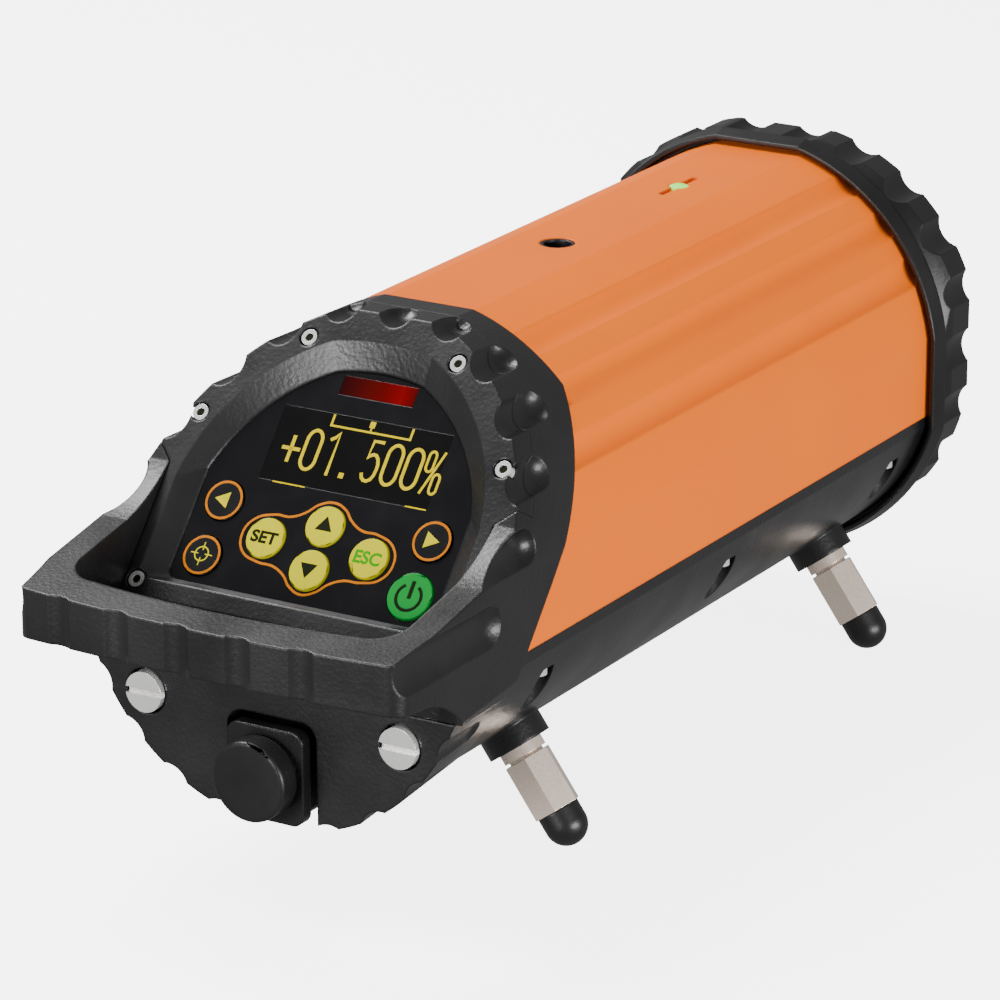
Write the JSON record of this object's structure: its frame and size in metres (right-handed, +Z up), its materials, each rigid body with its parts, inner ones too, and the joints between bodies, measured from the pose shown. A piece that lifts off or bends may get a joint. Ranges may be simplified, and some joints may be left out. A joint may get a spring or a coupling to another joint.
{
  "type": "pipe laser",
  "caption": "Self-levelling pipe laser in a tubular housing on screw-in legs, with a slanted keypad panel, carry handle, battery door and scalloped beam-end bumper.",
  "frame": {"origin": "on the ground below the middle of the overall length", "axes": "+X right seen from the panel, +Y along the tube towards the beam end, +Z up"},
  "size_m": [0.1288, 0.329, 0.1491],
  "materials": {
    "orange_paint": "satin powder coat",
    "black_moulding": "fine grained moulding",
    "black_gloss": "glossy membrane",
    "display_glass": "smoked clear window",
    "red_filter": "dark red filter",
    "key_yellow": "backlit key",
    "key_green": "backlit key",
    "key_black": "black key",
    "stainless": "turned stainless",
    "nickel": "nickel plated",
    "brass": "machined",
    "aluminium": "machined",
    "black_rubber": "soft rubber",
    "silicone": "silicone",
    "board_green": "solder resist",
    "optic_glass": "coated optic",
    "cell_wrap": "shrink sleeve",
    "grey_plastic": "moulded",
    "lamp_green": "diffusing lens"
  },
  "bodies": {
    "housing": {"upper_shell": "orange_paint", "top_insert": "black_moulding", "level_lamp": "lamp_green", "lower_tray": "black_moulding", "tray_screws": "stainless", "control_guard": "black_moulding", "bezel_screws": "stainless", "panel_bezel": "black_moulding", "keypad_panel": "black_gloss", "display_window": "display_glass", "receiver_window": "red_filter", "dome_mat": "silicone", "display_module": "grey_plastic", "display_board": "board_green", "socket_flange": "black_rubber", "charge_socket": "black_moulding", "charge_jack": "nickel", "battery_case": "grey_plastic", "battery_cells": "cell_wrap", "main_board": "board_green", "chassis": "aluminium", "line_motor": "stainless", "end_plate": "aluminium", "exit_window": "optic_glass", "window_ring": "black_moulding", "end_bumper": "black_rubber", "bumper_screws": "stainless", "leg_inserts": "brass"},
    "battery_door": {"battery_cover": "black_moulding", "battery_contacts": "brass"},
    "door_screw_left": {"captive_screw_left": "stainless"},
    "door_screw_right": {"captive_screw_right": "stainless"},
    "socket_cap": {"dust_cap": "black_rubber"},
    "line_fork": {"line_yoke": "aluminium", "grade_motor": "stainless"},
    "line_slider": {"line_nut": "brass"},
    "line_spindle": {"line_screw": "stainless"},
    "beam_unit": {"laser_tube": "aluminium", "grade_pivots": "stainless", "laser_module": "brass", "collimator_lens": "optic_glass", "level_sensor": "grey_plastic"},
    "grade_slider": {"grade_nut": "brass"},
    "grade_spindle": {"grade_screw": "stainless"},
    "key_left_cap": {"key_left": "key_black"},
    "key_right_cap": {"key_right": "key_black"},
    "key_spot_cap": {"key_spot": "key_black"},
    "key_power_cap": {"key_power": "key_green"},
    "key_set_cap": {"key_set": "key_yellow"},
    "key_escape_cap": {"key_escape": "key_yellow"},
    "key_up_cap": {"key_up": "key_yellow"},
    "key_down_cap": {"key_down": "key_yellow"},
    "leg_unit_front_left": {"leg_front_left": "nickel", "foot_front_left": "black_rubber"},
    "leg_unit_front_right": {"leg_front_right": "nickel", "foot_front_right": "black_rubber"},
    "leg_unit_rear_left": {"leg_rear_left": "nickel", "foot_rear_left": "black_rubber"},
    "leg_unit_rear_right": {"leg_rear_right": "nickel", "foot_rear_right": "black_rubber"}
  },
  "joints": [
    {"name": "battery_door_slide", "type": "slide", "parent": "housing", "child": "battery_door", "axis": [0, -1, 0], "range_m": [0, 0.05]},
    {"name": "socket_cap_pull", "type": "slide", "parent": "housing", "child": "socket_cap", "axis": [0, -1, 0], "range_m": [0, 0.02]},
    {"name": "line_swivel", "type": "hinge", "parent": "housing", "child": "line_fork", "pos_m": [0, 0.095, 0.0821], "axis": [0, 0, 1], "range_deg": [-5, 5]},
    {"name": "line_slider_travel", "type": "slide", "parent": "housing", "child": "line_slider", "axis": [1, 0, 0], "range_m": [-0.0033, 0.0033]},
    {"name": "line_spindle_turn", "type": "hinge", "parent": "housing", "child": "line_spindle", "pos_m": [0, 0.06, 0.04349], "axis": [1, 0, 0], "range_deg": [-300, 300]},
    {"name": "grade_tilt", "type": "hinge", "parent": "line_fork", "child": "beam_unit", "pos_m": [0, 0.095, 0.0821], "axis": [1, 0, 0], "range_deg": [-5.71, 16.7]},
    {"name": "grade_slider_travel", "type": "slide", "parent": "line_fork", "child": "grade_slider", "axis": [0, 0, 1], "range_m": [-0.012, 0.0045]},
    {"name": "grade_spindle_turn", "type": "hinge", "parent": "line_fork", "child": "grade_spindle", "pos_m": [0.022, 0.055, 0.0821], "axis": [0, 0, 1], "range_deg": [-380, 1080]},
    {"name": "door_screw_left_turn", "type": "hinge", "parent": "battery_door", "child": "door_screw_left", "pos_m": [-0.0413, -0.1299, 0.0484], "axis": [0, -1, 0], "range_deg": [0, 1440]},
    {"name": "door_screw_right_turn", "type": "hinge", "parent": "battery_door", "child": "door_screw_right", "pos_m": [0.0413, -0.1299, 0.0484], "axis": [0, -1, 0], "range_deg": [0, 1440]},
    {"name": "key_left_press", "type": "slide", "parent": "housing", "child": "key_left_cap", "axis": [0, 0.766, -0.6428], "range_m": [0, 0.0005], "stiffness_N_per_m": 800},
    {"name": "key_right_press", "type": "slide", "parent": "housing", "child": "key_right_cap", "axis": [0, 0.766, -0.6428], "range_m": [0, 0.0005], "stiffness_N_per_m": 800},
    {"name": "key_spot_press", "type": "slide", "parent": "housing", "child": "key_spot_cap", "axis": [0, 0.766, -0.6428], "range_m": [0, 0.0005], "stiffness_N_per_m": 800},
    {"name": "key_power_press", "type": "slide", "parent": "housing", "child": "key_power_cap", "axis": [0, 0.766, -0.6428], "range_m": [0, 0.0005], "stiffness_N_per_m": 800},
    {"name": "key_set_press", "type": "slide", "parent": "housing", "child": "key_set_cap", "axis": [0, 0.766, -0.6428], "range_m": [0, 0.0005], "stiffness_N_per_m": 800},
    {"name": "key_escape_press", "type": "slide", "parent": "housing", "child": "key_escape_cap", "axis": [0, 0.766, -0.6428], "range_m": [0, 0.0005], "stiffness_N_per_m": 800},
    {"name": "key_up_press", "type": "slide", "parent": "housing", "child": "key_up_cap", "axis": [0, 0.766, -0.6428], "range_m": [0, 0.0005], "stiffness_N_per_m": 800},
    {"name": "key_down_press", "type": "slide", "parent": "housing", "child": "key_down_cap", "axis": [0, 0.766, -0.6428], "range_m": [0, 0.0005], "stiffness_N_per_m": 800},
    {"name": "leg_front_left_extend", "type": "slide", "parent": "housing", "child": "leg_unit_front_left", "axis": [-0.5878, 0, -0.809], "range_m": [0, 0.01]},
    {"name": "leg_front_right_extend", "type": "slide", "parent": "housing", "child": "leg_unit_front_right", "axis": [0.5878, 0, -0.809], "range_m": [0, 0.01]},
    {"name": "leg_rear_left_extend", "type": "slide", "parent": "housing", "child": "leg_unit_rear_left", "axis": [-0.5878, 0, -0.809], "range_m": [0, 0.01]},
    {"name": "leg_rear_right_extend", "type": "slide", "parent": "housing", "child": "leg_unit_rear_right", "axis": [0.5878, 0, -0.809], "range_m": [0, 0.01]}
  ],
  "couplings": [
    {"joint": "line_slider_travel", "follows": "line_swivel", "m_per_rad": 0.035},
    {"joint": "line_spindle_turn", "follows": "line_swivel", "ratio": 54.978},
    {"joint": "grade_slider_travel", "follows": "grade_tilt", "m_per_rad": -0.04},
    {"joint": "grade_spindle_turn", "follows": "grade_tilt", "ratio": 62.832}
  ]
}
